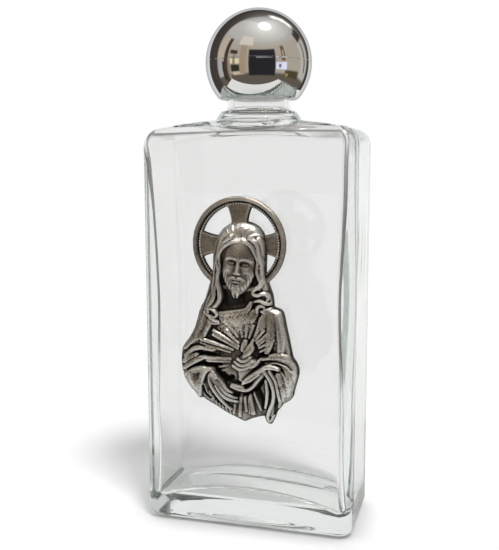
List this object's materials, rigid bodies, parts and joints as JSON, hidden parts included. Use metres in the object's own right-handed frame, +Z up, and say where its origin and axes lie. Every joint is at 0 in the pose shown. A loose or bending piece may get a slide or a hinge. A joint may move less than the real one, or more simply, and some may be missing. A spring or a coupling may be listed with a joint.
{
  "type": "holy water bottle",
  "caption": "Flat rectangular clear-glass water bottle with a chromed ball screw cap and a cast-metal relief figure with an openwork halo on its front.",
  "frame": {"origin": "centre of the ring under the base that the bottle stands on", "axes": "+Z up along the neck, -Y out of the front that carries the figure, +X to the right as seen from the front"},
  "size_m": [0.068, 0.0405, 0.1636],
  "materials": {
    "clear_glass": "clear, fire polished",
    "antique_pewter": "cast pewter, darkened in the recesses and rubbed bright on top",
    "clear_glue": "clear, hard",
    "insert_plastic": "natural, satin",
    "liner_foam": "foamed sheet",
    "bright_chrome": "bright plated, polished"
  },
  "bodies": {
    "bottle": {"bottle": "clear_glass", "figure_plaque": "antique_pewter", "plaque_glue": "clear_glue"},
    "liner": {"cap_liner": "liner_foam"},
    "cap": {"cap_insert": "insert_plastic", "cap_lower_shell": "bright_chrome", "cap_upper_shell": "bright_chrome"}
  },
  "joints": [
    {"name": "cap_rise", "type": "slide", "parent": "bottle", "child": "liner", "axis": [0, 0, 1], "range_m": [0, 0.0152]},
    {"name": "cap_twist", "type": "hinge", "parent": "liner", "child": "cap", "pos_m": [0, 0, 0.1475], "axis": [0, 0, 1], "range_deg": [0, 1710]}
  ],
  "couplings": [
    {"joint": "cap_rise", "follows": "cap_twist", "m_per_rad": 0.00050611}
  ]
}
